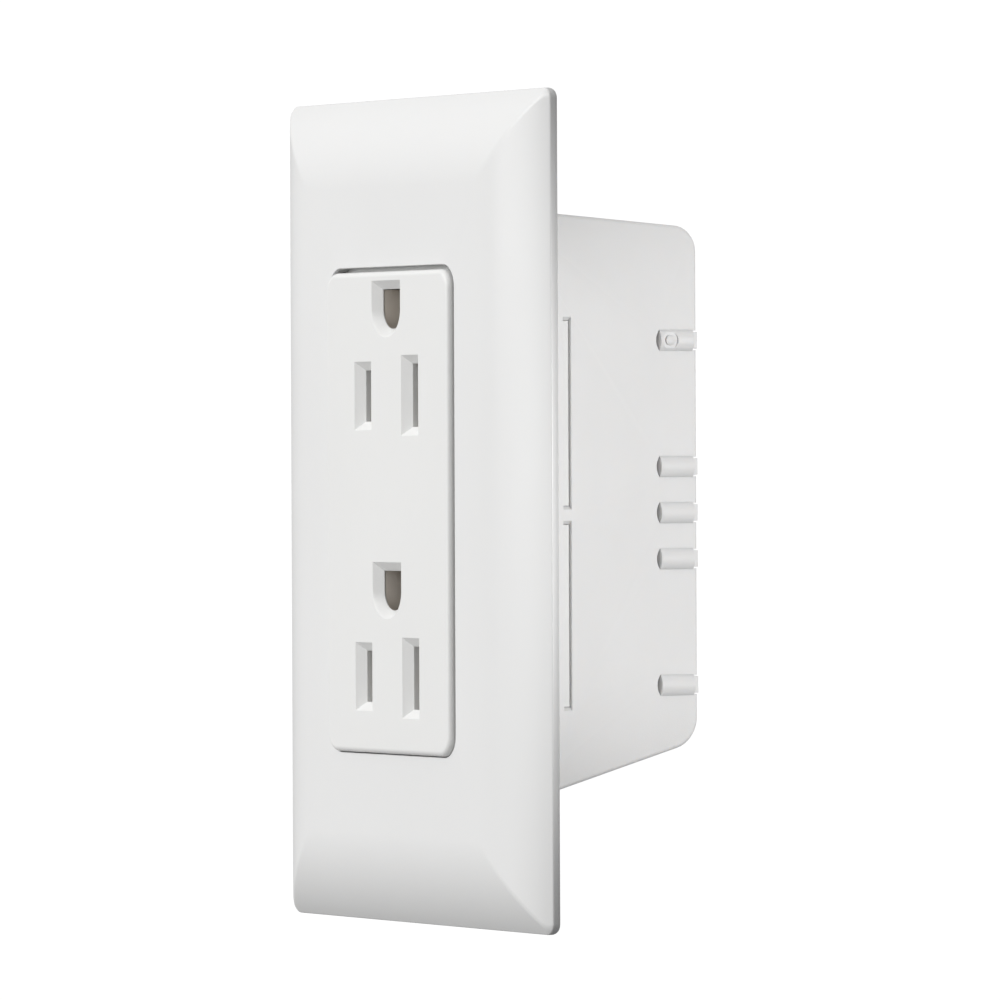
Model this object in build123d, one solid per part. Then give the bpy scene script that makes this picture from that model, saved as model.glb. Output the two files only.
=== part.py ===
"""Duplex wall outlet with its own rear body, a clip-on cover plate and swing-out wall clamps.

Frame: +X to the right as seen from the room, +Y into the wall, +Z up.
Origin: centre of the plane where the plate and the flange meet the wall.
"""
from build123d import *
import os
from math import radians, tan

# Cover plate
plate_width = 69.85
plate_height = 114.3
plate_depth = 5.76
plate_rim = 1.3
plate_bevel = 12.4
plate_corner = 1.6
plate_edge_round = 0.35
plate_wall = 2.0
plate_side_wall = 1.8
window_corner = 3.0
window_gap_x = 0.3
window_gap_z = 0.4
window_round = 0.15
window_rib = 1.2
window_rib_end = 3.2
tab_width = 8.0
tab_thickness = 1.2
tab_x = 16.0
tab_z = 46.0
tab_bead = 0.25
tab_end = 0.3
tab_root = 0.4

# Receptacle face
face_width = 33.1
face_height = 66.6
face_drop = 0.25
face_proud = 0.8
face_corner = 2.5
face_round = 0.75
face_shoulder = 1.0
face_wall = 2.2
face_front = 3.0
duplex_pitch = 38.9
blade_drop = 3.55
blade_pitch = 12.7
pin_rise = 11.9
slot_width = 2.2
hot_slot = 7.1
neutral_slot = 8.7
slot_bevel = 1.2
pin_slot_width = 5.35
pin_slot_top = 2.8
pin_lip = 0.15

# Mounting flange and rear body
flange_thickness = 1.5
flange_margin = 2.1
flange_corner = 2.0
body_width = 44.0
body_top = 41.15
body_bottom = 40.4
body_depth = 30.3
top_slope = 4.2
bottom_slope = 15.6
body_wall = 1.6
body_round = 0.5
rear_top_radius = 3.6
rear_bottom_radius = 4.5
snap_slot_y = 8.54
snap_slot_width = 1.3
snap_slot_upper = (0.1, 26.5)
snap_slot_lower = (-27.4, -1.4)
snap_slot_ramp = 0.5
snap_ridge_set_in = 0.5
snap_ridge_end_gap = 0.05

# Rear cover
cover_thickness = 1.5
cover_top = 33.5
cover_bottom = -26.5
tooth_width = 2.95
tooth_height = 0.6
tooth_length = 6.2
tooth_end = 0.8
tooth_lift = 0.05
tooth_places = (-24.15, -6.75, -0.4, 5.95, 23.35)
tooth_web = 2.3
notch_width = 2.7
notch_bow = 0.45
tooth_mark_diameter = 2.4
tooth_mark_core = 1.5
tooth_mark_depth = 0.3
tooth_mark_from_front = 1.6
cable_width = 14.0
cable_front = 22.3
cable_reach = 4.9
presser_width = 4.0
presser_thickness = 1.6
presser_gap = 0.6

# Contacts, terminals and the block that holds them
skirt_wall = 1.3
skirt_depth = 10.6
tray_height = 64.4
carrier_depth = 15.0
metal = 0.8
leaf_metal = 0.6
blade_contact_y = 12.0
hot_leaf = 6.8
neutral_leaf = 7.8
leaf_root = 1.6
leaf_pinch = 0.95
leaf_flare = 1.5
leaf_front = -2.6
leaf_pinch_y = 0.8
pin_leaf = 5.5
pin_root = 2.9
pin_pinch = 2.55
pin_flare = 3.0
chamber_inner = 4.3
chamber_outer = 16.2
pin_chamber = 6.8
strap_width = 7.2
terminal_x = 12.0
terminal_rows = (-16.0, 8.0)
terminal_width = 6.0
terminal_thickness = 1.0
terminal_end = 23.0
wire_slot = 1.5
wire_slot_start = 17.5
wire_mouth = 1.2
rivet_radius = 1.0
rivet_head_radius = 1.7
rivet_head = 0.5
housing_screw_x = 11.5
housing_screw_z = 29.3
housing_screw_radius = 1.1
housing_screw_head_radius = 2.4
housing_screw_head = 1.6
boss_radius = 2.4

# Wall clamps
clamp_axis_z = 37.0
clamp_screw_radius = 1.75
clamp_screw_tip = 19.8
clamp_head_radius = 3.0
clamp_head = 1.9
clamp_head_crown = 0.8
clamp_rest = 7.0
nut_size = 6.4
nut_thickness = 2.6
barrel_radius = 2.5
barrel_length = 3.6
hub_radius = 3.2
hub_length = 3.4
wing_reach = 14.0
wing_width = 5.2
wing_thickness = 1.8
claw = 0.8
retainer_radius = 3.0
retainer_thickness = 0.6
pocket_step = 0.2
pocket_wall = 0.9
pocket_depth = 20.5
pocket_recess = 0.2
recess_width = 1.0
recess_depth = 1.2

# Clearances
fit_gap = 0.2
turning_gap = 0.08
thread_bite_gap = 0.05
room = 0.8
reach_out = 60.0

# Places worked out from the sizes
face_y = -plate_depth - face_proud
body_half = body_width / 2
inner_half = body_half - body_wall
tray_half = inner_half - fit_gap
carrier_half = tray_half - skirt_wall - fit_gap
cover_front = body_depth - cover_thickness
rear_opening = body_depth - max(cover_thickness, body_wall) - fit_gap
window_width = face_width + 2 * window_gap_x
window_height = face_height + 2 * window_gap_z
lip_half_height = face_height / 2 + fit_gap
pocket_floor = lip_half_height + pocket_step
flange_back = 0.0
pocket_left = -wing_reach - room
pocket_right = hub_radius + room
blade_lines = (duplex_pitch / 2 - blade_drop, -duplex_pitch / 2 - blade_drop)
pin_lines = tuple(z + pin_rise for z in blade_lines)
blade_x = blade_pitch / 2
strap_y = carrier_depth
tooth_base = body_half + tooth_lift
tooth_front = body_depth - tooth_length
shoulder_front = -plate_depth + plate_wall + fit_gap
pin_pocket_front = face_y + slot_bevel + pin_lip
pin_leaf_front = pin_pocket_front + fit_gap / 2


def block(x0, x1, y0, y1, z0, z1):
    """A box between six planes."""
    centre = Pos((x0 + x1) / 2, (y0 + y1) / 2, (z0 + z1) / 2)
    return centre * Box(x1 - x0, y1 - y0, z1 - z0)


def bar(width, y0, y1, height, x=0.0, z=0.0):
    """A box centred on (x, z) that runs from y0 to y1."""
    return block(x - width / 2, x + width / 2, y0, y1, z - height / 2, z + height / 2)


def facing(y, x=0.0, z=0.0):
    """A plane at depth y whose sketches are seen from the room: across is +X and up is +Z."""
    return Plane(origin=(x, y, z), x_dir=(1, 0, 0), z_dir=(0, -1, 0))


def prism(outline, y0, y1, x=0.0, z=0.0):
    """A sketch seen from the room, carried from y0 to y1."""
    return extrude(facing(y1, x, z) * outline, amount=y1 - y0)


def rod(radius, y0, y1, x=0.0, z=0.0):
    """A round bar along Y."""
    return prism(Circle(radius), y0, y1, x, z)


def both_sides(piece):
    """A piece and its mirror image in the plane X = 0."""
    return piece + mirror(piece, about=Plane.YZ)


def upside_down(piece):
    """A piece's mirror image in the plane Z = 0."""
    return mirror(piece, about=Plane.XY)


# ---- Cover plate ----


def pillow_section(half, depth, rim, bevel, edge):
    """Section of the pillow shape: a flat front that curves down to a low square rim."""
    points = {"foot": (half, 0), "rim": (half, rim), "crown": (half - bevel, depth)}
    curve = TangentArc(points["crown"], points["rim"], tangent=(1, 0))
    outline = Line((0, 0), points["foot"]) + Line(points["foot"], points["rim"]) + curve
    outline += Line(points["crown"], (0, depth)) + Line((0, depth), (0, 0))
    section = make_face(outline)
    if edge > 0:
        corner = section.vertices().sort_by_distance(points["rim"])[0]
        section = fillet(corner, edge)
    return section + mirror(section, about=Plane.YZ)


def pillow(width, height, depth, rim, bevel, edge=0.0):
    """The same section across and up and down, so that the four bevels meet in mitres."""
    across = Plane(origin=(0, 0, 0), x_dir=(1, 0, 0), z_dir=(0, 0, -1))
    upright = Plane(origin=(0, 0, 0), x_dir=(0, 0, 1), z_dir=(1, 0, 0))
    wide = across * pillow_section(width / 2, depth, rim, bevel, edge)
    tall = upright * pillow_section(height / 2, depth, rim, bevel, edge)
    return extrude(wide, amount=height, both=True) & extrude(tall, amount=width, both=True)


def plate_tab():
    """A snap tab that stands behind the plate, with a bead on its outer side."""
    front = -plate_depth + plate_wall - tab_root
    tab = bar(tab_width, front, -tab_end, tab_thickness, tab_x, tab_z)
    bead_z = tab_z + tab_thickness / 2
    bead_y = -tab_end - 2 * tab_bead
    bead = Pos(tab_x, bead_y, bead_z) * Rot(0, 90, 0) * Cylinder(tab_bead, tab_width)
    return tab + bead


def wall_plate():
    """Hollow cover plate with its window, side ribs and four snap tabs."""
    shell = pillow(plate_width, plate_height, plate_depth, plate_rim, plate_bevel, plate_edge_round)
    shell &= prism(RectangleRounded(plate_width, plate_height, plate_corner), -plate_depth, 0)
    window = RectangleRounded(window_width, window_height, window_corner)
    shell -= prism(window, -plate_depth, 0)
    front_edges = shell.faces().filter_by(Axis.Y).sort_by(Axis.Y)[0].inner_wires()[0].edges()
    shell = fillet(front_edges, window_round)
    hollow = pillow(
        plate_width - 2 * plate_side_wall,
        plate_height - 2 * plate_side_wall,
        plate_depth - plate_wall,
        plate_rim / 2,
        plate_bevel,
    )
    shell -= hollow
    rib_x = window_width / 2 + face_shoulder + fit_gap + window_rib / 2
    rib_front = -plate_depth + plate_wall - tab_root
    rib_height = window_height - 2 * window_rib_end
    rib = bar(window_rib, rib_front, -flange_thickness - fit_gap, rib_height, rib_x)
    fittings = rib + plate_tab() + upside_down(plate_tab())
    return shell + both_sides(fittings)


# ---- Receptacle face ----


def pin_outline(grow):
    """Ground hole: flat on top and round below, centred on the pin."""
    radius = pin_slot_width / 2 + grow
    top = pin_slot_top + grow
    outline = ThreePointArc((radius, 0), (0, -radius), (-radius, 0))
    outline += Polyline([(-radius, 0), (-radius, top), (radius, top), (radius, 0)])
    return make_face(outline)


def slot_outline(height):
    """Gives the outline of a blade slot of that height, for any bevel."""
    return lambda grow: Rectangle(slot_width + 2 * grow, height + 2 * grow)


def bevelled_hole(outline, x, z):
    """A hole through the face whose mouth is bevelled at 45 degrees."""
    mouth = facing(face_y, x, z) * outline(slot_bevel)
    throat = facing(face_y + slot_bevel, x, z) * outline(0.0)
    return loft([mouth, throat]) + prism(outline(0.0), face_y + slot_bevel, flange_back + room, x, z)


def receptacle_holes():
    """The two blade slots and the ground hole of both outlets."""
    holes = Part()
    for blade_z, pin_z in zip(blade_lines, pin_lines):
        holes += bevelled_hole(slot_outline(hot_slot), -blade_x, blade_z)
        holes += bevelled_hole(slot_outline(neutral_slot), blade_x, blade_z)
        holes += bevelled_hole(pin_outline, 0.0, pin_z)
        pocket_height = pin_leaf + 2 * fit_gap
        holes += bar(pin_chamber, pin_pocket_front, flange_back + room, pocket_height, 0.0, pin_z)
    return holes


def snap_ridges():
    """The long ridges on one skirt, which click into the slots of the body's side wall."""
    inner = tray_half - skirt_wall / 2
    outer = body_half - snap_ridge_set_in
    y0 = snap_slot_y + fit_gap / 2
    y1 = snap_slot_y + snap_slot_width
    end = snap_slot_ramp + snap_ridge_end_gap
    ridges = Part()
    for low, high in (snap_slot_lower, snap_slot_upper):
        ridges += block(inner, outer, y0, y1, low + end, high - end)
    return ridges


def face_shoulder_ring():
    """The shoulder around the face, which closes the gap behind the window and clears both clamp screws."""
    grow = 2 * face_shoulder
    outline = RectangleRounded(window_width + grow, window_height + grow, window_corner + face_shoulder)
    ring = prism(outline, shoulder_front, -flange_thickness)
    for z in (-clamp_axis_z, clamp_axis_z):
        ring -= rod(clamp_head_radius + fit_gap, shoulder_front, -flange_thickness, 0.0, z)
    return ring


def face_housing():
    """The outlet's front with its slots, the lip that sits in the flange, and two side skirts."""
    outline = RectangleRounded(face_width, face_height, face_corner)
    front = prism(outline, face_y, -flange_thickness, 0.0, -face_drop)
    rim = front.faces().sort_by(Axis.Y)[0].edges()
    front = fillet(rim, face_round) + face_shoulder_ring()
    front += bar(2 * tray_half, -flange_thickness, flange_back, face_height)
    hollow_y = face_y + face_front
    hollow = bar(face_width - 2 * face_wall, hollow_y, flange_back, face_height - 2 * face_wall)
    front -= hollow
    for x in (-housing_screw_x, housing_screw_x):
        for z in (-housing_screw_z, housing_screw_z):
            front += rod(boss_radius, hollow_y - tab_root, flange_back, x, z)
            front -= rod(housing_screw_radius + thread_bite_gap, hollow_y, flange_back, x, z)
    skirt = block(
        tray_half - skirt_wall, tray_half, flange_back, skirt_depth, -tray_height / 2, tray_height / 2
    )
    front += both_sides(skirt + snap_ridges())
    return front - receptacle_holes()


# ---- Rear body ----


def side_outline(inset, front):
    """Side view of the body from depth front to its rear, with every wall drawn in by inset."""
    rear = body_depth - inset

    def top(y):
        return body_top - inset - y * tan(radians(top_slope))

    def bottom(y):
        return -body_bottom + inset + y * tan(radians(bottom_slope))

    points = [(front, bottom(front)), (rear, bottom(rear)), (rear, top(rear)), (front, top(front))]
    outline = make_face(Polyline(points, close=True))
    low = outline.vertices().sort_by_distance((rear, bottom(rear)))[0]
    outline = fillet(low, rear_bottom_radius - inset)
    high = outline.vertices().sort_by_distance((rear, top(rear)))[0]
    return fillet(high, rear_top_radius - inset)


def envelope(inset, front):
    """The body's side view carried across its width, drawn in by inset on every side."""
    return extrude(Plane.YZ * side_outline(inset, front), amount=body_half - inset, both=True)


def pocket(grow, top):
    """Room for the upper clamp, open towards the top; grow adds its walls."""
    x0 = pocket_left - grow
    x1 = pocket_right + grow
    return block(x0, x1, flange_back, pocket_depth + grow, pocket_floor - grow, top)


def snap_slots():
    """The long slots in one side wall, whose ends slope outwards."""
    slots = Part()
    inner = inner_half - fit_gap
    knee = body_half - snap_ridge_set_in
    for low, high in (snap_slot_lower, snap_slot_upper):
        bottom = low + snap_slot_ramp
        top = high - snap_slot_ramp
        outline = [(inner, bottom), (knee, bottom), (body_half, low)]
        outline += [(body_half, high), (knee, top), (inner, top)]
        slots += prism(make_face(Polyline(outline, close=True)), snap_slot_y, snap_slot_y + snap_slot_width)
    return slots


def tooth_notches():
    """The notches in one side wall, bowed at the front, that take the webs of the rear cover's teeth."""
    half = notch_width / 2
    past = body_depth + room
    bow = ThreePointArc((tooth_front, -half), (tooth_front - notch_bow, 0), (tooth_front, half))
    sides = Polyline([(tooth_front, half), (past, half), (past, -half), (tooth_front, -half)])
    outline = make_face(bow + sides)
    notches = Part()
    for z in tooth_places:
        side = Plane(origin=(inner_half - fit_gap, 0, z), x_dir=(0, 1, 0), z_dir=(1, 0, 0))
        notches += extrude(side * outline, amount=body_wall + 2 * fit_gap)
    return notches


def cable_entries():
    """Room for a cable in the top wall and in the bottom wall, open to the rear."""
    past = body_depth + room
    half = cable_width / 2
    top = block(-half, half, cable_front, past, cover_top - fit_gap, body_top + room)
    bottom = block(-half, half, cable_front, past, -body_bottom - room, cover_bottom + fit_gap)
    return top + bottom


def flange():
    """The plate behind the cover plate that meets the wall, with its four tab slots."""
    width = plate_width - 2 * (plate_side_wall + flange_margin)
    height = plate_height - 2 * (plate_side_wall + flange_margin)
    plate = prism(RectangleRounded(width, height, flange_corner), -flange_thickness, flange_back)
    slot_height = tab_thickness + 2 * (tab_bead + fit_gap)
    slot = bar(tab_width + 2 * fit_gap, -flange_thickness, flange_back, slot_height, tab_x, tab_z)
    slots = both_sides(slot)
    return plate - slots - upside_down(slots)


def body_housing():
    """The rear body and its flange: hollow, open at the rear, with a pocket at each end."""
    outer = envelope(0.0, -flange_thickness)
    sides = outer.faces().filter_by(Axis.X)
    outer = fillet([e for side in sides for e in side.edges()], body_round)
    outer = outer & block(-body_half, body_half, flange_back, body_depth, -reach_out, reach_out)
    shell = flange() + outer
    shell -= envelope(body_wall, flange_back)
    shell -= bar(2 * inner_half, -flange_thickness, flange_back, 2 * lip_half_height)
    liner = pocket(pocket_wall, reach_out)
    shell += (liner + upside_down(liner)) & envelope(0.0, flange_back)
    recess = flange_back - pocket_recess
    cavity = pocket(0.0, reach_out)
    cavity += block(pocket_left, pocket_right, recess, flange_back, pocket_floor, body_top + fit_gap)
    shell -= cavity + upside_down(cavity)
    for z in (-clamp_axis_z, clamp_axis_z):
        shell -= rod(clamp_screw_radius + turning_gap, -flange_thickness, flange_back, 0.0, z)
    rear = block(-inner_half, inner_half, rear_opening, body_depth + room, cover_bottom, cover_top)
    shell -= rear + cable_entries()
    return shell - both_sides(snap_slots() + tooth_notches())


# ---- Rear cover ----


def cover_teeth():
    """The teeth on one side of the rear cover: a bowed head outside the wall on a web in its notch."""
    half = tooth_width / 2
    crown = ThreePointArc((0, -half), (tooth_height, 0), (0, half))
    head = make_face(crown + Line((0, half), (0, -half)))
    inner = inner_half - 2 * fit_gap
    teeth = Part()
    for z in tooth_places:
        teeth += prism(head, tooth_front, body_depth - tooth_end, tooth_base, z)
        teeth += block(inner, tooth_base, tooth_front, body_depth, z - tooth_web / 2, z + tooth_web / 2)
    mark_y = tooth_front + tooth_mark_from_front
    mark = Cylinder(tooth_mark_diameter / 2, 2 * tooth_mark_depth)
    mark = Rot(0, 90, 0) * (mark - Cylinder(tooth_mark_core / 2, 2 * tooth_mark_depth))
    return teeth - Pos(tooth_base + tooth_height, mark_y, tooth_places[-1]) * mark


def pressers():
    """Posts inside the cover that press each wire into its terminal, one on each side of it."""
    posts = Part()
    offset_z = terminal_thickness / 2 + presser_gap + presser_thickness / 2
    front = terminal_end - wire_mouth
    for x in (-terminal_x, 0.0, terminal_x):
        for row in terminal_rows:
            for side in (-offset_z, offset_z):
                posts += bar(presser_width, front, cover_front, presser_thickness, x, row + side)
    return posts


def rear_cover():
    """The wire cover that closes the rear and holds both cables."""
    half = inner_half - fit_gap
    sheet = block(-half, half, cover_front, body_depth, cover_bottom + fit_gap, cover_top - fit_gap)
    tongue = cable_width / 2 - fit_gap
    low = cover_bottom - cable_reach
    high = cover_top + cable_reach
    sheet += block(-tongue, tongue, cover_front, body_depth, low, high) & envelope(0.0, flange_back)
    return sheet + pressers() + both_sides(cover_teeth())


# ---- Contacts and carrier ----


def leaf_section(root, pinch, flare, base_y, front, thickness):
    """One spring leaf seen from above: it leans in to the pinch and flares at its mouth."""
    middle = [(root, base_y), (pinch, leaf_pinch_y), (flare, front)]
    inner = [(x - thickness / 2, y) for x, y in middle]
    outer = [(x + thickness / 2, y) for x, y in reversed(middle)]
    return make_face(Polyline(inner + outer, close=True))


def leaf_pair(root, pinch, flare, base_y, front, height, x, z):
    """Two facing leaves that grip a blade or pin."""
    section = leaf_section(root, pinch, flare, base_y, front, leaf_metal)
    leaf = extrude(Plane.XY * section, amount=height / 2, both=True)
    return Pos(x, 0, z) * both_sides(leaf)


def power_strip(side, leaf_height):
    """The strip on one side: two pairs of leaves on a bus, with an arm for each terminal."""
    root = leaf_root + leaf_metal / 2
    top = max(blade_lines) + leaf_height / 2
    low = min(blade_lines) - leaf_height / 2
    back = blade_contact_y + metal
    x0 = blade_x - root
    strip = block(x0, blade_x + root, blade_contact_y, back, low, top)
    for row in terminal_rows:
        x1 = terminal_x + terminal_width / 2
        half = terminal_width / 2
        strip += block(x0, x1, blade_contact_y, back, row - half, row + half)
    for z in blade_lines:
        strip += leaf_pair(
            leaf_root, leaf_pinch, leaf_flare, blade_contact_y, leaf_front, leaf_height, blade_x, z
        )
    return strip if side > 0 else mirror(strip, about=Plane.YZ)


def ground_contact(z):
    """The clip that grips one ground pin."""
    root = pin_root + leaf_metal / 2
    base_y = strap_y - metal
    clip = bar(2 * root, base_y, strap_y, pin_leaf, 0.0, z)
    clip += leaf_pair(pin_root, pin_pinch, pin_flare, base_y, pin_leaf_front, pin_leaf, 0.0, z)
    return clip - rod(rivet_radius, base_y, strap_y, 0.0, z)


def ground_strap():
    """The strap behind the carrier that joins both ground contacts and their terminals."""
    top = max(pin_lines) + strap_width / 2
    low = min(terminal_rows) - terminal_width / 2
    strap = block(-strap_width / 2, strap_width / 2, strap_y, strap_y + metal, low, top)
    for z in pin_lines:
        strap -= rod(rivet_radius, strap_y, strap_y + metal, 0.0, z)
    return strap


def rivets():
    """The rivets that hold the ground contacts to the strap."""
    front = strap_y - metal
    back = strap_y + metal
    pieces = []
    for z in pin_lines:
        rivet = rod(rivet_radius, front, back, 0.0, z)
        rivet += rod(rivet_head_radius, front - rivet_head, front, 0.0, z)
        rivet += rod(rivet_head_radius, back, back + rivet_head, 0.0, z)
        pieces.append(rivet)
    return pieces


def terminals(x, start):
    """The slotted plates of one pole, which cut through a wire's sheath and grip it."""
    pieces = []
    half = terminal_thickness / 2
    for row in terminal_rows:
        plate = bar(terminal_width, start, terminal_end, terminal_thickness, x, row)
        plate -= bar(wire_slot, wire_slot_start, terminal_end, terminal_thickness, x, row)
        mouth_half = wire_slot / 2 + wire_mouth
        points = [(-wire_slot / 2, -wire_mouth), (wire_slot / 2, -wire_mouth)]
        points += [(mouth_half, 0), (-mouth_half, 0)]
        mouth = make_face(Polyline(points, close=True))
        plane = Plane(origin=(x, terminal_end, row), x_dir=(1, 0, 0), z_dir=(0, 0, 1))
        plate -= extrude(plane * mouth, amount=half, both=True)
        pieces.append(plate)
    return pieces


def contact_carrier():
    """The insulating block behind the face, with a chamber for every contact."""
    block_height = tray_height - fit_gap
    carrier = bar(2 * carrier_half, flange_back, carrier_depth, block_height)
    top = max(blade_lines) + neutral_leaf / 2 + room
    low = min(blade_lines) - neutral_leaf / 2 - room
    chamber = block(chamber_inner, chamber_outer, flange_back, blade_contact_y + metal, low, top)
    for row in terminal_rows:
        slit_height = terminal_thickness + 2 * fit_gap
        slit_width = terminal_width + 2 * fit_gap
        chamber += bar(slit_width, blade_contact_y, carrier_depth, slit_height, terminal_x, row)
    carrier -= both_sides(chamber)
    for z in pin_lines:
        carrier -= bar(pin_chamber, flange_back, carrier_depth, pin_leaf + 2 * fit_gap, 0.0, z)
    for x in (-housing_screw_x, housing_screw_x):
        for z in (-housing_screw_z, housing_screw_z):
            carrier -= rod(housing_screw_radius + fit_gap, flange_back, carrier_depth, x, z)
    return carrier


# ---- Screws and wall clamps ----


def cross_recess(y, x, z, into):
    """A cross recess cut from depth y, into +Y for into = 1 and -Y for into = -1."""
    y0, y1 = sorted((y, y + into * recess_depth))
    arm = 3 * recess_width
    return bar(arm, y0, y1, recess_width, x, z) + bar(recess_width, y0, y1, arm, x, z)


def housing_screws():
    """The four screws that pull the carrier against the face, driven from the rear."""
    tip = face_y + face_front + room
    head_back = carrier_depth + housing_screw_head
    pieces = []
    for x in (-housing_screw_x, housing_screw_x):
        for z in (-housing_screw_z, housing_screw_z):
            screw = rod(housing_screw_radius, tip, carrier_depth, x, z)
            screw += rod(housing_screw_head_radius, carrier_depth, head_back, x, z)
            pieces.append(screw - cross_recess(head_back, x, z, -1))
    return pieces


def clamp_screw(z):
    """A long screw with a domed head under the cover plate."""
    head_front = -flange_thickness - clamp_head
    head = rod(clamp_head_radius, head_front, -flange_thickness, 0.0, z)
    head = fillet(head.edges().sort_by(Axis.Y)[0], clamp_head_crown)
    shank = rod(clamp_screw_radius, -flange_thickness, clamp_screw_tip, 0.0, z)
    shank = chamfer(shank.edges().sort_by(Axis.Y)[-1], clamp_screw_radius / 4)
    return head + shank - cross_recess(head_front, 0.0, z, 1)


def screw_retainer(z):
    """A push-on washer behind the flange that keeps the screw captive."""
    y0 = flange_back + fit_gap
    washer = rod(retainer_radius, y0, y0 + retainer_thickness, 0.0, z)
    return washer - rod(clamp_screw_radius, y0, y0 + retainer_thickness, 0.0, z)


def clamp_nut(z):
    """A square nut with a round barrel in front, on which the wing turns."""
    barrel_back = clamp_rest + barrel_length
    nut = bar(nut_size, barrel_back, barrel_back + nut_thickness, nut_size, 0.0, z)
    nut += rod(barrel_radius, clamp_rest, barrel_back, 0.0, z)
    return nut - rod(clamp_screw_radius + turning_gap, clamp_rest, barrel_back + nut_thickness, 0.0, z)


def clamp_wing(z):
    """The wing, folded to the left: a hub, a flat ear and a claw that bites the wall panel."""
    ear = block(-wing_reach, 0.0, clamp_rest, clamp_rest + wing_thickness, -wing_width / 2, wing_width / 2)
    tip = ear.edges().filter_by(Axis.Y).sort_by(Axis.X)[:2]
    ear = fillet(tip, wing_width / 4)
    points = [(0, 0), (2 * claw, 0), (claw / 2, -claw)]
    tooth = make_face(Polyline(points, close=True))
    base = Plane(origin=(-wing_reach + claw, clamp_rest, 0), x_dir=(1, 0, 0), z_dir=(0, 0, 1))
    ear += extrude(base * tooth, amount=wing_width / 3, both=True)
    hub = rod(hub_radius, clamp_rest, clamp_rest + hub_length)
    bore = rod(barrel_radius + turning_gap, clamp_rest - claw, clamp_rest + hub_length)
    return Pos(0, 0, z) * (ear + hub - bore)


def pieces():
    """Every node and the solids in it."""
    made = {
        "wall_plate": [wall_plate()],
        "face_housing": [face_housing()],
        "body_housing": [body_housing()],
        "rear_cover": [rear_cover()],
        "contact_carrier": [contact_carrier()],
        "hot_contact_strip": [power_strip(-1, hot_leaf)],
        "neutral_contact_strip": [power_strip(1, neutral_leaf)],
        "ground_contact_upper": [ground_contact(max(pin_lines))],
        "ground_contact_lower": [ground_contact(min(pin_lines))],
        "ground_strap": [ground_strap()],
        "ground_rivets": rivets(),
        "hot_terminals": terminals(-terminal_x, blade_contact_y + metal),
        "neutral_terminals": terminals(terminal_x, blade_contact_y + metal),
        "ground_terminals": terminals(0.0, strap_y + metal),
        "housing_screws": housing_screws(),
    }
    for name, z in (("upper", clamp_axis_z), ("lower", -clamp_axis_z)):
        made[name + "_clamp_screw"] = [clamp_screw(z)]
        made[name + "_screw_retainer"] = [screw_retainer(z)]
        made[name + "_clamp_nut"] = [clamp_nut(z)]
        made[name + "_clamp_wing"] = [clamp_wing(z)]
    return made


os.makedirs("parts", exist_ok=True)
for node, shapes in pieces().items():
    solids = [solid for shape in shapes for solid in shape.solids()]
    export_step(Compound(label=node, children=solids), f"parts/{node}.step")
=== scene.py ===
"""Looks for a duplex wall outlet: finishes, a detailed cover plate and a soft studio.

Run as a script it builds the whole scene; it is laid out as an add-on so that each piece is an operator.
"""
import itertools
import math

import bmesh
import bpy
from mathutils import Matrix, Vector


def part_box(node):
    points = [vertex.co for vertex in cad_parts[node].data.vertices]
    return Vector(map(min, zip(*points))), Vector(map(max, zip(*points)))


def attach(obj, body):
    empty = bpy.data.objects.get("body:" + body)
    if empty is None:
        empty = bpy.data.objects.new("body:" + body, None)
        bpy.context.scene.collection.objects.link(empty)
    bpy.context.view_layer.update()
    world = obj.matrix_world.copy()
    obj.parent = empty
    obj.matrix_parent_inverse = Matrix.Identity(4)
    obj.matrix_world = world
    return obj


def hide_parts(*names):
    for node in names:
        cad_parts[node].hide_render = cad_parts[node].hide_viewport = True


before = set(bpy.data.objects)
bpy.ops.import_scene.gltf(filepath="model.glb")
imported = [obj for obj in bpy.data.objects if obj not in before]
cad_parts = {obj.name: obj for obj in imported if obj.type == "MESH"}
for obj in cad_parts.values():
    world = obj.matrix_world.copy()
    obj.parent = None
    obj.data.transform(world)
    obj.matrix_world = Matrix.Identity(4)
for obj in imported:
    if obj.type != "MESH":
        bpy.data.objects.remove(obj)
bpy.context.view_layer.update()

bl_info = {
    "name": "Duplex wall outlet",
    "version": (1, 0, 0),
    "blender": (4, 5, 0),
    "location": "View3D > Sidebar > Outlet",
    "description": "Builds the finishes and the detailed cover plate of a duplex wall outlet",
    "category": "Object",
}

MM = 0.001

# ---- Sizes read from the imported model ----

PLATE_LOW, PLATE_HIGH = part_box("wall_plate")

# ---- Sizes of the receptacle face ----

FACE_WIDTH = 33.1 * MM
FACE_HEIGHT = 66.6 * MM

# ---- Fineness of the curves ----

CORNER_STEPS = 12
TURN_STEPS = 6
BEVEL_STEPS = 18
WINDOW_STEPS = 5
INNER_STEPS = 8
BEAD_SEGMENTS = 16
FLOOR_SEGMENTS = 128
SMALLEST_CORNER = 0.02 * MM

# ---- Edge softening ----

WELD_REACH = 0.001 * MM
FLAT_ANGLE = math.radians(0.5)
EDGE_ANGLE = math.radians(30)
EDGE_SEGMENTS = 2
NORMAL_WEIGHT = 50

QUARTER_TURN = math.radians(90)

# ---- Mesh helpers ----


def rounded_loop(half_x, half_z, corner):
    """Points round a rounded rectangle, anticlockwise as seen from the room."""
    points = []
    for quarter in range(4):
        turn = QUARTER_TURN * quarter
        centre_x = (half_x - corner) * (1 if quarter in (0, 3) else -1)
        centre_z = (half_z - corner) * (1 if quarter in (0, 1) else -1)
        for step in range(CORNER_STEPS + 1):
            angle = turn + QUARTER_TURN * step / CORNER_STEPS
            points.append((centre_x + corner * math.cos(angle), centre_z + corner * math.sin(angle)))
    return points


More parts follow.
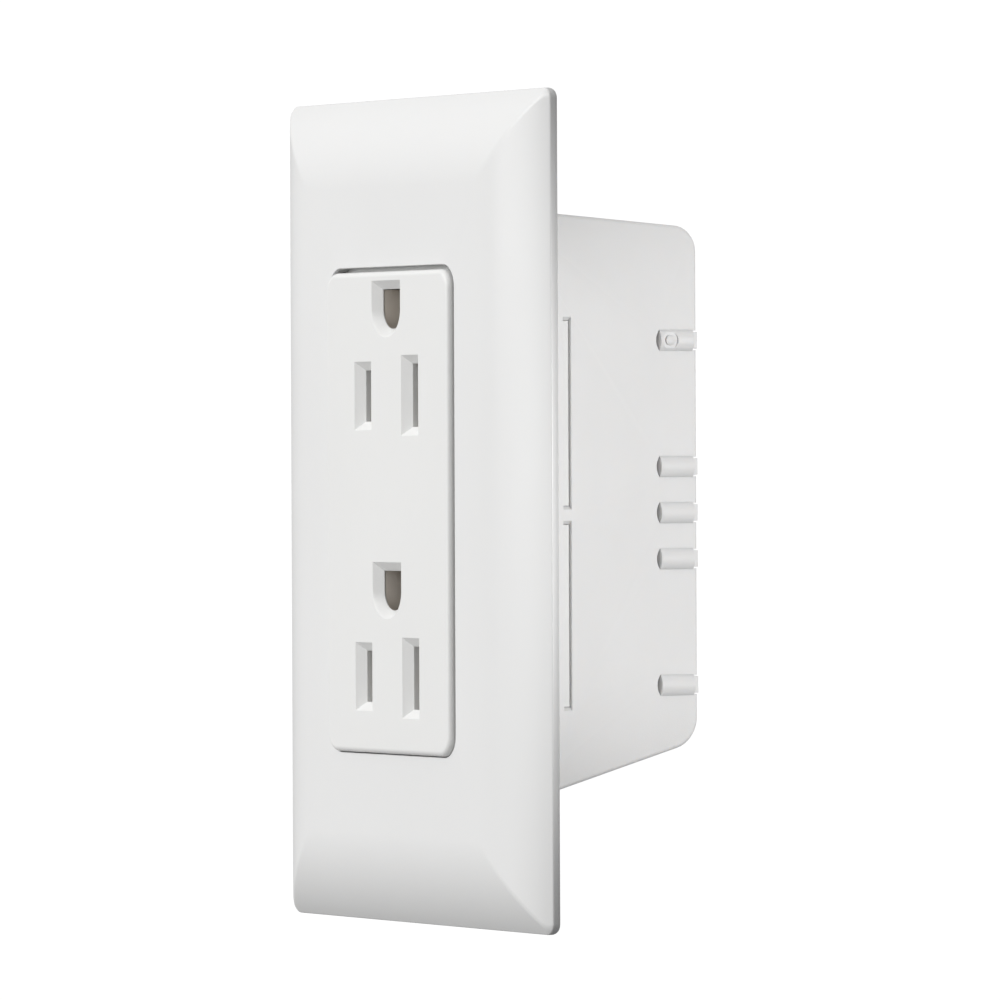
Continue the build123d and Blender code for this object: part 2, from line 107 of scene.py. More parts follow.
def ring(mesh, half_x, half_z, corner, y):
    """One loop of vertices round a rounded rectangle at depth y."""
    loop = rounded_loop(half_x, half_z, max(corner, SMALLEST_CORNER))
    return [mesh.verts.new((x, y, z)) for x, z in loop]


def skin(mesh, rings, closed=False):
    """Quads between each ring and the next; closed joins the last one to the first."""
    pairs = list(zip(rings, rings[1:]))
    if closed:
        pairs.append((rings[-1], rings[0]))
    for near, far in pairs:
        for i in range(len(near)):
            j = (i + 1) % len(near)
            mesh.faces.new((near[i], near[j], far[j], far[i]))


def box_piece(mesh, low, high):
    """A closed box between two corners, added to a mesh."""
    places = itertools.product(*zip(low, high))
    corners = [mesh.verts.new(place) for place in places]
    for face in ((0, 1, 3, 2), (4, 6, 7, 5), (0, 4, 5, 1), (2, 3, 7, 6), (0, 2, 6, 4), (1, 5, 7, 3)):
        mesh.faces.new([corners[i] for i in face])


def object_from(mesh, name):
    """A finished object from a bmesh, with its faces turned outwards."""
    bmesh.ops.recalc_face_normals(mesh, faces=mesh.faces)
    data = bpy.data.meshes.new(name)
    mesh.to_mesh(data)
    mesh.free()
    made = bpy.data.objects.new(name, data)
    bpy.context.scene.collection.objects.link(made)
    return made


def apply_modifiers(piece):
    """Turns a piece's modifiers into its own mesh."""
    depsgraph = bpy.context.evaluated_depsgraph_get()
    finished = bpy.data.meshes.new_from_object(piece.evaluated_get(depsgraph))
    piece.modifiers.clear()
    old = piece.data
    piece.data = finished
    bpy.data.meshes.remove(old)


def join_on(piece, extras):
    """Joins each extra object onto a piece as one closed skin, and removes the extra."""
    for extra in extras:
        step = piece.modifiers.new("join_on", "BOOLEAN")
        step.operation = "UNION"
        step.solver = "EXACT"
        step.object = extra
    apply_modifiers(piece)
    for extra in extras:
        bpy.data.objects.remove(extra)


def smooth_group():
    """Geometry nodes that shade every face of a piece smooth."""
    name = "smooth_faces"
    if name in bpy.data.node_groups:
        return bpy.data.node_groups[name]
    group = bpy.data.node_groups.new(name, "GeometryNodeTree")
    group.interface.new_socket("Geometry", in_out="INPUT", socket_type="NodeSocketGeometry")
    group.interface.new_socket("Geometry", in_out="OUTPUT", socket_type="NodeSocketGeometry")
    entry = group.nodes.new("NodeGroupInput")
    shade = group.nodes.new("GeometryNodeSetShadeSmooth")
    leave = group.nodes.new("NodeGroupOutput")
    group.links.new(entry.outputs[0], shade.inputs[0])
    group.links.new(shade.outputs[0], leave.inputs[0])
    return group


def shade_evenly(piece):
    """Shades a piece smooth, by the size of its faces."""
    smooth = piece.modifiers.new("smooth_faces", "NODES")
    smooth.node_group = smooth_group()
    weighted = piece.modifiers.new("even_normals", "WEIGHTED_NORMAL")
    weighted.keep_sharp = False
    weighted.weight = NORMAL_WEIGHT


def soften_edges(piece, width):
    """Joins up a piece's flat faces, rounds its sharp edges a little and shades it evenly."""
    weld = piece.modifiers.new("weld", "WELD")
    weld.merge_threshold = WELD_REACH
    merge = piece.modifiers.new("merge_flats", "DECIMATE")
    merge.decimate_type = "DISSOLVE"
    merge.angle_limit = FLAT_ANGLE
    bevel = piece.modifiers.new("soft_edges", "BEVEL")
    bevel.width = width
    bevel.segments = EDGE_SEGMENTS
    bevel.limit_method = "ANGLE"
    bevel.angle_limit = EDGE_ANGLE
    bevel.use_clamp_overlap = True
    bevel.miter_outer = "MITER_ARC"
    shade_evenly(piece)


# ---- Material helpers ----

FLECK_COLOUR = (0.22, 0.20, 0.18, 1.0)
GLOW_REACH = 1.2 * MM
DRAWN_UPRIGHT = (1.0, 1.0, 0.08)
DRAWN_INWARDS = (1.0, 0.1, 1.0)


class Finish:
    """A material under construction: adds nodes, joins them and sets the shader's own values."""

    def __init__(self, name):
        self.material = bpy.data.materials.new(name)
        self.material.use_nodes = True
        self.nodes = self.material.node_tree.nodes
        self.links = self.material.node_tree.links
        self.shader = self.nodes["Principled BSDF"]
        self.place = self.nodes.new("ShaderNodeTexCoord").outputs["Object"]

    def add(self, kind, links=None, values=None, **settings):
        """A node with its settings, typed-in values and joined sockets."""
        node = self.nodes.new(kind)
        for key, value in settings.items():
            setattr(node, key, value)
        for key, value in (values or {}).items():
            node.inputs[key].default_value = value
        for key, socket in (links or {}).items():
            self.links.new(socket, node.inputs[key])
        return node

    def noise(self, per_metre, detail=2.0, roughness=0.5, stretch=None):
        """Cloudy noise with that many features in a metre."""
        place = self.place
        if stretch:
            place = self.add("ShaderNodeMapping", {"Vector": place}, {"Scale": stretch}).outputs[0]
        values = {"Scale": per_metre, "Detail": detail, "Roughness": roughness}
        return self.add("ShaderNodeTexNoise", {"Vector": place}, values).outputs["Fac"]

    def spread(self, factor, low, high, to_low=0.0, to_high=1.0):
        """Maps factor's range from low to high onto another range, clamped."""
        values = {"From Min": low, "From Max": high, "To Min": to_low, "To Max": to_high}
        return self.add("ShaderNodeMapRange", {"Value": factor}, values).outputs["Result"]

    def blend(self, factor, first, second):
        """A colour between two colours, each a socket or four numbers."""
        node = self.add("ShaderNodeMix", data_type="RGBA", blend_type="MIX")
        self.links.new(factor, node.inputs["Factor"])
        for socket, colour in ((node.inputs[6], first), (node.inputs[7], second)):
            if isinstance(colour, bpy.types.NodeSocket):
                self.links.new(colour, socket)
            else:
                socket.default_value = colour
        return node.outputs[2]

    def maths(self, operation, first, second):
        """One sum, of sockets or numbers."""
        node = self.add("ShaderNodeMath", operation=operation)
        for socket, value in zip(node.inputs, (first, second)):
            if isinstance(value, bpy.types.NodeSocket):
                self.links.new(value, socket)
            else:
                socket.default_value = value
        return node.outputs[0]

    def bump(self, height, distance, under=None):
        """Raises the surface by height times distance, over another bump if there is one."""
        links = {"Height": height}
        if under:
            links["Normal"] = under
        return self.add("ShaderNodeBump", links, {"Distance": distance, "Strength": 1.0}).outputs[0]

    def wear(self, low, high):
        """How far a point stands out as an edge, from 0 to 1."""
        return self.spread(self.add("ShaderNodeNewGeometry").outputs["Pointiness"], low, high)

    def join(self, socket, name):
        """Joins a socket to the shader's input of that name."""
        self.links.new(socket, self.shader.inputs[name])

    def keep(self, **values):
        """Sets the shader's own values, which are the same all over."""
        for key, value in values.items():
            self.shader.inputs[key.replace("_", " ")].default_value = value


def shade_of(colour, factor):
    """A colour made lighter or darker."""
    return (*[min(1.0, c * factor) for c in colour[:3]], 1.0)


def moulded_plastic(name, colour, gloss, grain, flecks, glow):
    """Injection moulded plastic: flow tone, handling marks, fine grain and a few dark flecks."""
    finish = Finish(name)
    flow = finish.spread(finish.noise(per_metre=38.0, detail=3.0), low=0.3, high=0.7)
    tone = finish.blend(flow, shade_of(colour, 0.99), shade_of(colour, 1.006))
    edge = finish.wear(low=0.51, high=0.56)
    tone = finish.blend(finish.maths("MULTIPLY", edge, 0.35), tone, shade_of(colour, 1.05))
    speck = finish.add(
        "ShaderNodeTexVoronoi", {"Vector": finish.place}, {"Scale": 210.0, "Randomness": 1.0}
    )
    dot = finish.spread(speck.outputs["Distance"], low=0.02, high=0.05, to_low=1.0, to_high=0.0)
    patch = finish.noise(per_metre=95.0, detail=1.0)
    chosen = finish.spread(patch, low=0.70 - flecks, high=0.72 - flecks)
    fleck = finish.maths("MULTIPLY", dot, chosen)
    tone = finish.blend(finish.maths("MULTIPLY", fleck, 0.6), tone, FLECK_COLOUR)
    finish.join(tone, "Base Color")
    smear = finish.noise(per_metre=160.0, detail=4.0, roughness=0.65, stretch=(1.0, 1.0, 0.45))
    rough = finish.spread(smear, low=0.3, high=0.75, to_low=gloss - 0.02, to_high=gloss + 0.05)
    finish.join(finish.maths("ADD", rough, finish.maths("MULTIPLY", edge, 0.08)), "Roughness")
    waves = finish.bump(finish.noise(per_metre=90.0, detail=1.0), distance=0.004 * MM)
    texture = finish.noise(per_metre=5200.0, detail=2.0, roughness=0.6)
    finish.join(finish.bump(texture, distance=grain, under=waves), "Normal")
    finish.keep(IOR=1.5, Subsurface_Weight=glow, Subsurface_Scale=GLOW_REACH)
    finish.shader.inputs["Subsurface Radius"].default_value = (1.0, 0.9, 0.8)
    return finish.material


def stamped_metal(name, colour, gloss, tarnish, drawn, metallic=1.0):
    """Rolled and stamped sheet: drawing lines along one way, tarnish in patches, bright edges."""
    finish = Finish(name)
    cloud = finish.noise(per_metre=230.0, detail=4.0, roughness=0.6)
    patches = finish.spread(cloud, low=0.42, high=0.68)
    tone = finish.blend(finish.maths("MULTIPLY", patches, 0.55), shade_of(colour, 1.0), tarnish)
    bright = finish.wear(low=0.52, high=0.6)
    tone = finish.blend(finish.maths("MULTIPLY", bright, 0.5), tone, shade_of(colour, 1.2))
    finish.join(tone, "Base Color")
    lines = finish.noise(per_metre=900.0, detail=3.0, roughness=0.7, stretch=drawn)
    rough = finish.spread(lines, low=0.3, high=0.7, to_low=gloss - 0.08, to_high=gloss + 0.12)
    finish.join(finish.maths("ADD", rough, finish.maths("MULTIPLY", patches, 0.12)), "Roughness")
    finish.join(finish.bump(lines, distance=0.004 * MM), "Normal")
    finish.keep(Metallic=metallic)
    return finish.material


def plated_steel(name, colour, gloss):
    """Zinc plated steel: pale bloom, small pits and turning marks."""
    finish = Finish(name)
    bloom = finish.spread(finish.noise(per_metre=420.0, detail=5.0, roughness=0.6), low=0.4, high=0.7)
    tone = finish.blend(bloom, shade_of(colour, 1.0), shade_of(colour, 0.78))
    edge = finish.wear(low=0.52, high=0.62)
    finish.join(finish.blend(edge, tone, shade_of(colour, 1.25)), "Base Color")
    rough = finish.spread(bloom, low=0.0, high=1.0, to_low=gloss - 0.05, to_high=gloss + 0.15)
    finish.join(rough, "Roughness")
    turning = finish.noise(per_metre=2400.0, detail=2.0, roughness=0.5, stretch=(1.0, 6.0, 1.0))
    marks = finish.bump(turning, distance=0.003 * MM)
    pits = finish.noise(per_metre=900.0, detail=4.0)
    finish.join(finish.bump(pits, distance=0.006 * MM, under=marks), "Normal")
    finish.keep(Metallic=1.0)
    return finish.material


def cast_metal(name, colour, gloss):
    """Die cast zinc: a slightly pebbled, dull grey skin."""
    finish = Finish(name)
    cloud = finish.noise(per_metre=300.0, detail=5.0, roughness=0.65)
    skin_tone = finish.spread(cloud, low=0.35, high=0.7)
    tone = finish.blend(skin_tone, shade_of(colour, 1.0), shade_of(colour, 0.7))
    edge = finish.wear(low=0.52, high=0.6)
    finish.join(finish.blend(edge, tone, shade_of(colour, 1.3)), "Base Color")
    rough = finish.spread(skin_tone, low=0.0, high=1.0, to_low=gloss, to_high=gloss + 0.15)
    finish.join(rough, "Roughness")
    pebbles = finish.noise(per_metre=1600.0, detail=4.0, roughness=0.6)
    finish.join(finish.bump(pebbles, distance=0.02 * MM), "Normal")
    finish.keep(Metallic=1.0)
    return finish.material


# ---- Properties ----


def length(name, about, default):
    """A length in metres that a user may change."""
    return bpy.props.FloatProperty(
        name=name,
        description=about,
        default=default,
        min=0.0,
        precision=5,
        unit="LENGTH",
        subtype="DISTANCE",
    )


def tint(name, about, default):
    """A colour that a user may change."""
    return bpy.props.FloatVectorProperty(
        name=name, description=about, default=default, size=3, min=0.0, max=1.0, subtype="COLOR"
    )


def degrees(name, about, default):
    """An angle that a user may change."""
    return bpy.props.FloatProperty(
        name=name, description=about, default=math.radians(default), subtype="ANGLE"
    )


class PlateSizes(bpy.types.PropertyGroup):
    """Sizes of the cover plate."""

    rim: length("Rim", "Height of the plate's outer wall", 1.3 * MM)
    bevel: length("Bevel", "Width of the curved border", 12.4 * MM)
    corner: length("Corner", "Radius of the plate's corners", 1.6 * MM)
    crease: length("Crease", "Radius where two borders meet", 0.5 * MM)
    edge_round: length("Edge", "Rounding between rim and border", 0.35 * MM)
    foot_round: length("Foot", "How far the rim turns in at the wall", 0.45 * MM)
    wall: length("Wall", "Thickness of the front", 2.0 * MM)
    side_wall: length("Side wall", "Thickness of the sides", 1.8 * MM)
    window_gap_x: length("Side gap", "Gap beside the receptacle face", 0.3 * MM)
    window_gap_z: length("End gap", "Gap above and below the receptacle face", 0.4 * MM)
    window_corner: length("Window corner", "Radius of the window's corners", 3.0 * MM)
    window_round: length("Window edge", "Rounding of the window's front edge", 0.15 * MM)
    rib_place: length("Rib place", "Distance of each side rib from the window's edge", 1.2 * MM)
    rib_width: length("Rib width", "Thickness of the side ribs", 1.2 * MM)
    rib_end: length("Rib end", "How far the ribs stop short of the window's ends", 3.2 * MM)
    rib_back: length("Rib back", "Depth at which the ribs end, in front of the wall", 1.7 * MM)
    tab_width: length("Tab width", "Width of the snap tabs", 8.0 * MM)
    tab_thickness: length("Tab thickness", "Thickness of the snap tabs", 1.2 * MM)
    tab_x: length("Tab across", "Distance of each tab from the upright centre line", 16.0 * MM)
    tab_z: length("Tab height", "Distance of each tab from the level centre line", 46.0 * MM)
    tab_back: length("Tab end", "How far the tabs stop short of the wall", 0.3 * MM)
    tab_bead: length("Tab bead", "Radius of the bead on each tab", 0.25 * MM)


class FinishColours(bpy.types.PropertyGroup):
    """Colours of the outlet's materials."""

    plate: tint("Plate", "Cover plate plastic", (0.80, 0.80, 0.795))
    face: tint("Face", "Receptacle face plastic", (0.81, 0.81, 0.80))
    body: tint("Body", "Rear body plastic", (0.84, 0.835, 0.83))
    carrier: tint("Carrier", "Contact carrier plastic", (0.68, 0.67, 0.63))
    brass: tint("Brass", "Contact strips and terminals", (0.78, 0.56, 0.26))
    tarnish: tint("Tarnish", "Darker patches on brass", (0.42, 0.27, 0.12))
    ground: tint("Ground metal", "Ground contacts and strap", (0.80, 0.74, 0.67))
    zinc: tint("Zinc", "Plated screws", (0.62, 0.62, 0.62))
    spring: tint("Spring steel", "Screw retainers", (0.30, 0.30, 0.31))
    cast: tint("Cast zinc", "Clamp wings", (0.50, 0.50, 0.50))


class StudioSettings(bpy.types.PropertyGroup):
    """Camera, floor and lights."""

    camera_place: bpy.props.FloatVectorProperty(
        name="Camera",
        description="Where the camera stands",
        default=(0.9703, -0.5785, 0.0074),
        size=3,
        subtype="XYZ",
    )
    azimuth: degrees("Azimuth", "Which way the camera looks, round from +Y towards -X", 58.686)
    pitch: degrees("Pitch", "How far the camera looks up", -0.304)
    roll: degrees("Roll", "How far the camera leans", -0.235)
    lens: bpy.props.FloatProperty(
        name="Lens", description="Focal length in millimetres", default=293.85, min=1.0
    )
    floor_drop: length("Floor drop", "How far the floor lies below the outlet's middle", 0.15)
    floor_radius: length("Floor radius", "How far the floor reaches", 1.15)


def settings():
    """The scene's own copy of every property group."""
    scene = bpy.context.scene
    return scene.outlet_plate, scene.outlet_colours, scene.outlet_studio


# ---- Cover plate ----

FOOT_SLENDERNESS = 1.6
CORNER_TIGHTENING = 1.25


def bevel_profile(sizes, depth):
    """(inset, depth) pairs from the foot of the rim, over its edge, to the flat front."""
    foot, edge, bevel = sizes.foot_round, sizes.edge_round, sizes.bevel
    rise = depth - sizes.rim
    radius = (bevel**2 + rise**2) / (2 * rise)
    points = []
    for step in range(TURN_STEPS + 1):
        angle = QUARTER_TURN * step / TURN_STEPS
        points.append((foot * (1 - math.sin(angle)), FOOT_SLENDERNESS * foot * (1 - math.cos(angle))))
    meets = math.asin((bevel - edge) / (radius - edge))
    centre = depth - radius + (radius - edge) * math.cos(meets)
    for step in range(TURN_STEPS + 1):
        angle = QUARTER_TURN + (meets - QUARTER_TURN) * step / TURN_STEPS
        points.append((edge * (1 - math.sin(angle)), centre + edge * math.cos(angle)))
    for step in range(1, BEVEL_STEPS + 1):
        angle = meets * (1 - step / BEVEL_STEPS)
        points.append((bevel - radius * math.sin(angle), depth - radius + radius * math.cos(angle)))
    return points


def plate_shell(sizes):
    """The plate as one closed skin: out from the wall, over the front, through the window and back."""
    half_x, half_z = PLATE_HIGH.x, PLATE_HIGH.z
    depth = -PLATE_LOW.y
    mesh = bmesh.new()
    rings = []
    for inset, rise in bevel_profile(sizes, depth):
        corner = max(sizes.corner - CORNER_TIGHTENING * inset, sizes.crease)
        rings.append(ring(mesh, half_x - inset, half_z - inset, corner, -rise))
    window_x = FACE_WIDTH / 2 + sizes.window_gap_x
    window_z = FACE_HEIGHT / 2 + sizes.window_gap_z
    for step in range(WINDOW_STEPS + 1):
        angle = QUARTER_TURN * step / WINDOW_STEPS
        out = sizes.window_round * (1 - math.sin(angle))
        down = sizes.window_round * (1 - math.cos(angle))
        corner = sizes.window_corner + out
        rings.append(ring(mesh, window_x + out, window_z + out, corner, -depth + down))
    ceiling = -depth + sizes.wall
    rings.append(ring(mesh, window_x, window_z, sizes.window_corner, ceiling))
    inner_x, inner_z = half_x - sizes.side_wall, half_z - sizes.side_wall
    rise = depth - sizes.wall - sizes.rim / 2
    radius = (sizes.bevel**2 + rise**2) / (2 * rise)
    meets = math.asin(sizes.bevel / radius)
    for step in range(INNER_STEPS + 1):
        angle = meets * step / INNER_STEPS
        inset = sizes.bevel - radius * math.sin(angle)
        y = ceiling + radius * (1 - math.cos(angle))
        rings.append(ring(mesh, inner_x - inset, inner_z - inset, sizes.crease, y))
    rings.append(ring(mesh, inner_x, inner_z, sizes.crease, 0.0))
    skin(mesh, rings, closed=True)
    return object_from(mesh, "cover_plate_shell")


def bar_object(name, centre, size):
    """A closed bar round a centre, to join onto another piece."""
    mesh = bmesh.new()
    low = [c - s / 2 for c, s in zip(centre, size)]
    high = [c + s / 2 for c, s in zip(centre, size)]
    box_piece(mesh, low, high)
    return object_from(mesh, name)


def bead_object(name, centre, radius, width):
    """A round bead that lies along X."""
    mesh = bmesh.new()
    turn = Matrix.Translation(centre) @ Matrix.Rotation(QUARTER_TURN, 4, "Y")
    bmesh.ops.create_cone(
        mesh,
        cap_ends=True,
        segments=BEAD_SEGMENTS,
        radius1=radius,
        radius2=radius,
        depth=width,
        matrix=turn,
    )
    return object_from(mesh, name)


def plate_fittings(sizes):
    """The two ribs beside the window and the four snap tabs, as loose pieces."""
    made = []
    front = PLATE_LOW.y + sizes.wall - sizes.window_round
    rib_x = FACE_WIDTH / 2 + sizes.window_gap_x + sizes.rib_place + sizes.rib_width / 2
    rib_height = FACE_HEIGHT + 2 * (sizes.window_gap_z - sizes.rib_end)
    rib_y = (front - sizes.rib_back) / 2
    rib_size = (sizes.rib_width, -front - sizes.rib_back, rib_height)
    tab_y = (front - sizes.tab_back) / 2
    tab_size = (sizes.tab_width, -front - sizes.tab_back, sizes.tab_thickness)
    bead_y = -sizes.tab_back - 2 * sizes.tab_bead
    bead_width = sizes.tab_width - sizes.tab_bead
    for side in (-1, 1):
        made.append(bar_object("rib", (side * rib_x, rib_y, 0.0), rib_size))
        for end in (-1, 1):
            x = side * sizes.tab_x
            made.append(bar_object("tab", (x, tab_y, end * sizes.tab_z), tab_size))
            bead_z = end * (sizes.tab_z + sizes.tab_thickness / 2)
            made.append(bead_object("bead", (x, bead_y, bead_z), sizes.tab_bead, bead_width))
    return made


class OUTLET_OT_cover_plate(bpy.types.Operator):
    """Builds the pillow-shaped cover plate with its ribs and tabs"""

    bl_idname = "outlet.cover_plate"
    bl_label = "Cover plate"

    def execute(self, context):
        sizes, colours, _ = settings()
        plate = plate_shell(sizes)
        join_on(plate, plate_fittings(sizes))
        shade_evenly(plate)
        finish = moulded_plastic(
            "plate_white", colours.plate, gloss=0.3, grain=0.004 * MM, flecks=0.06, glow=0.05
        )
        plate.data.materials.append(finish)
        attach(plate, "cover_plate")
        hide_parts("wall_plate")
        return {"FINISHED"}


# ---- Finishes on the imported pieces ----

MOULDED_EDGE = 0.12 * MM
BODY_EDGE = 0.1 * MM
PLATE_EDGE = 0.08 * MM
SHEET_EDGE = 0.06 * MM


def packed_finishes(colours):
    """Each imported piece's finish and the rounding of its edges."""
    tarnish = shade_of(colours.tarnish, 1.0)
    dull = shade_of(colours.ground, 0.85)
    brass = stamped_metal("contact_brass", colours.brass, 0.32, tarnish, DRAWN_UPRIGHT)
    ground = stamped_metal("ground_metal", colours.ground, 0.5, dull, DRAWN_UPRIGHT, metallic=0.25)
    turned = stamped_metal("rivet_brass", colours.brass, 0.28, tarnish, DRAWN_INWARDS)
    zinc = plated_steel("zinc_steel", colours.zinc, gloss=0.3)
    spring = plated_steel("spring_steel", colours.spring, gloss=0.35)
    cast = cast_metal("cast_zinc", colours.cast, gloss=0.45)
    face = moulded_plastic(
        "face_white", colours.face, gloss=0.34, grain=0.006 * MM, flecks=0.03, glow=0.05
    )
    body = moulded_plastic(
        "body_white", colours.body, gloss=0.42, grain=0.01 * MM, flecks=0.02, glow=0.25
    )
    carrier = moulded_plastic(
        "carrier_white", colours.carrier, gloss=0.5, grain=0.01 * MM, flecks=0.0, glow=0.05
    )
    finishes = {
        "face_housing": (face, MOULDED_EDGE),
        "body_housing": (body, BODY_EDGE),
        "rear_cover": (body, BODY_EDGE),
        "contact_carrier": (carrier, MOULDED_EDGE),
        "hot_contact_strip": (brass, SHEET_EDGE),
        "neutral_contact_strip": (brass, SHEET_EDGE),
        "hot_terminals": (brass, PLATE_EDGE),
        "neutral_terminals": (brass, PLATE_EDGE),
        "ground_contact_upper": (ground, SHEET_EDGE),
        "ground_contact_lower": (ground, SHEET_EDGE),
        "ground_strap": (ground, PLATE_EDGE),
        "ground_terminals": (ground, PLATE_EDGE),
        "ground_rivets": (turned, MOULDED_EDGE),
        "housing_screws": (zinc, BODY_EDGE),
    }
    for end in ("upper", "lower"):
        finishes[end + "_clamp_screw"] = (zinc, PLATE_EDGE)
        finishes[end + "_screw_retainer"] = (spring, PLATE_EDGE)
        finishes[end + "_clamp_nut"] = (turned, MOULDED_EDGE)
        finishes[end + "_clamp_wing"] = (cast, MOULDED_EDGE)
    return finishes


class OUTLET_OT_packed_finishes(bpy.types.Operator):
    """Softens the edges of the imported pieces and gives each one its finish"""

    bl_idname = "outlet.packed_finishes"
    bl_label = "Finishes"

    def execute(self, context):
        _, colours, _ = settings()
        for node, (material, edge) in packed_finishes(colours).items():
            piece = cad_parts[node]
            piece.data.materials.clear()
            piece.data.materials.append(material)
            soften_edges(piece, edge)
        return {"FINISHED"}


# ---- Studio ----

SENSOR_WIDTH = 36.0
CLIP_END = 20.0
BACKDROP_STRENGTH = 1.05
# For each part of a direction: where its fade starts and ends, and the strength at each end.
WORLD_FADES = {"Z": (-1.0, 0.6, 0.2, 0.8), "Y": (-0.3, 1.0, 1.0, 0.55), "X": (0.1, 1.0, 1.0, 0.35)}


def look_along(azimuth, pitch, roll):
    """Rotation of a camera that looks that way."""
    forward = Vector(
        (-math.sin(azimuth) * math.cos(pitch), math.cos(azimuth) * math.cos(pitch), math.sin(pitch))
    )
    level = forward.cross(Vector((0, 0, 1))).normalized()
    upright = level.cross(forward)
    right = level * math.cos(roll) + upright * math.sin(roll)
    up = right.cross(forward)
    return Matrix((right, up, -forward)).transposed().to_4x4()


def hang_lamp(name, data, place, target):
    """Puts a lamp at a place and turns it to face a target."""
    lamp = bpy.data.objects.new(name, data)
    bpy.context.scene.collection.objects.link(lamp)
    lamp.rotation_mode = "QUATERNION"
    lamp.rotation_quaternion = (Vector(target) - Vector(place)).to_track_quat("-Z", "Y")
    lamp.location = place


def soft_light(name, place, width, power):
    """A square soft box at a place, facing the outlet's middle."""
    data = bpy.data.lights.new(name, "AREA")
    data.shape = "RECTANGLE"
    data.size = width
    data.size_y = width
    data.energy = power
    hang_lamp(name, data, place, (0, 0, 0))


def narrow_light(name, place, target, cone, power):
    """A lamp with a soft-edged cone of so many degrees, facing a target."""
    data = bpy.data.lights.new(name, "SPOT")
    data.spot_size = math.radians(cone)
    data.spot_blend = 0.6
    data.shadow_soft_size = 0.02
    data.energy = power
    hang_lamp(name, data, place, target)


def studio_world():
    """A white backdrop whose light on the outlet fades downwards, to the rear and to the right."""
    world = bpy.data.worlds.new("studio")
    bpy.context.scene.world = world
    world.use_nodes = True
    nodes, links = world.node_tree.nodes, world.node_tree.links
    nodes.clear()
    out = nodes.new("ShaderNodeOutputWorld")
    seen = nodes.new("ShaderNodeBackground")
    seen.inputs["Color"].default_value = (1.0, 1.0, 1.0, 1.0)
    seen.inputs["Strength"].default_value = BACKDROP_STRENGTH
    cast = nodes.new("ShaderNodeBackground")
    direction = nodes.new("ShaderNodeTexCoord")
    parts = nodes.new("ShaderNodeSeparateXYZ")
    links.new(direction.outputs["Generated"], parts.inputs[0])
    strength = None
    for axis, ends in WORLD_FADES.items():
        fade = nodes.new("ShaderNodeMapRange")
        for key, value in zip(("From Min", "From Max", "To Min", "To Max"), ends):
            fade.inputs[key].default_value = value
        links.new(parts.outputs[axis], fade.inputs["Value"])
        if strength is None:
            strength = fade.outputs[0]
            continue
        product = nodes.new("ShaderNodeMath")
        product.operation = "MULTIPLY"
        links.new(strength, product.inputs[0])
        links.new(fade.outputs[0], product.inputs[1])
        strength = product.outputs[0]
    links.new(strength, cast.inputs["Strength"])
    path = nodes.new("ShaderNodeLightPath")
    mix = nodes.new("ShaderNodeMixShader")
    links.new(path.outputs["Is Camera Ray"], mix.inputs[0])
    links.new(cast.outputs[0], mix.inputs[1])
    links.new(seen.outputs[0], mix.inputs[2])
    links.new(mix.outputs[0], out.inputs[0])


def stand_camera(studio):
    """Adds the scene's camera."""
    data = bpy.data.cameras.new("camera")
    data.lens = studio.lens
    data.sensor_width = SENSOR_WIDTH
    data.clip_end = CLIP_END
    camera = bpy.data.objects.new("camera", data)
    bpy.context.scene.collection.objects.link(camera)
    turn = look_along(studio.azimuth, studio.pitch, studio.roll)
    camera.matrix_world = Matrix.Translation(studio.camera_place) @ turn
    bpy.context.scene.camera = camera


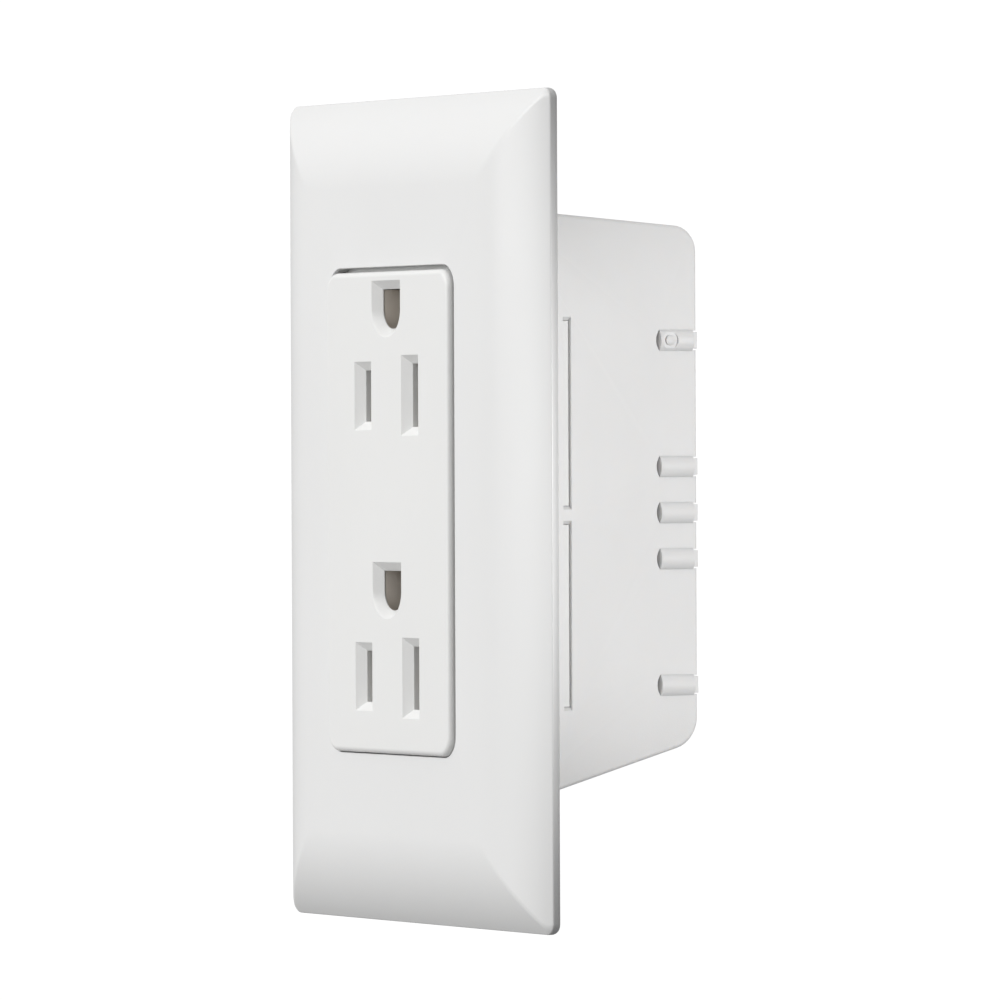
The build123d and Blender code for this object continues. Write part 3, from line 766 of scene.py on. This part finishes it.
def lay_floor(studio):
    """Adds the round paper floor, which throws no light back onto the outlet."""
    mesh = bmesh.new()
    bmesh.ops.create_circle(mesh, cap_ends=True, segments=FLOOR_SEGMENTS, radius=studio.floor_radius)
    floor = object_from(mesh, "studio_floor")
    floor.location.z = -studio.floor_drop
    paper = Finish("floor_paper")
    fibre = paper.noise(per_metre=1500.0, detail=4.0)
    paper.join(paper.blend(fibre, (0.86, 0.86, 0.86, 1.0), (0.9, 0.9, 0.9, 1.0)), "Base Color")
    paper.join(paper.bump(fibre, distance=0.02 * MM), "Normal")
    paper.keep(Roughness=0.9, Emission_Color=(1.0, 1.0, 1.0, 1.0), Emission_Strength=0.25)
    floor.data.materials.append(paper.material)
    floor.visible_diffuse = False
    floor.visible_glossy = False


class OUTLET_OT_studio(bpy.types.Operator):
    """Sets up the camera, the floor, the backdrop and the lights"""

    bl_idname = "outlet.studio"
    bl_label = "Studio"

    def execute(self, context):
        studio = settings()[2]
        context.scene.view_settings.view_transform = "Standard"
        stand_camera(studio)
        lay_floor(studio)
        studio_world()
        soft_light("front_box", place=(-0.2, -1.6, 0.6), width=1.4, power=24.0)
        soft_light("top_box", place=(0.3, -0.3, 1.5), width=1.4, power=1.0)
        narrow_light(
            "side_snoot", place=(0.58, 0.19, 0.003), target=(0.022, 0.029, 0.003), cone=12.0, power=8.4
        )
        return {"FINISHED"}


# ---- Panel and registration ----


class OUTLET_PT_panel(bpy.types.Panel):
    """Lists the outlet's operators and sizes"""

    bl_idname = "OUTLET_PT_panel"
    bl_label = "Duplex wall outlet"
    bl_space_type = "VIEW_3D"
    bl_region_type = "UI"
    bl_category = "Outlet"

    def draw(self, context):
        for operator in OPERATORS:
            self.layout.operator(operator.bl_idname)
        for group in settings():
            for name in group.bl_rna.properties.keys():
                if name not in ("rna_type", "name"):
                    self.layout.prop(group, name)


OPERATORS = (OUTLET_OT_studio, OUTLET_OT_cover_plate, OUTLET_OT_packed_finishes)
GROUPS = {"outlet_plate": PlateSizes, "outlet_colours": FinishColours, "outlet_studio": StudioSettings}


def register():
    for cls in (*GROUPS.values(), *OPERATORS, OUTLET_PT_panel):
        bpy.utils.register_class(cls)
    for name, group in GROUPS.items():
        setattr(bpy.types.Scene, name, bpy.props.PointerProperty(type=group))


def unregister():
    for name in GROUPS:
        delattr(bpy.types.Scene, name)
    for cls in reversed((*GROUPS.values(), *OPERATORS, OUTLET_PT_panel)):
        bpy.utils.unregister_class(cls)


def main():
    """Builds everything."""
    register()
    for operator in OPERATORS:
        area, name = operator.bl_idname.split(".")
        getattr(getattr(bpy.ops, area), name)()


if __name__ == "__main__":
    main()
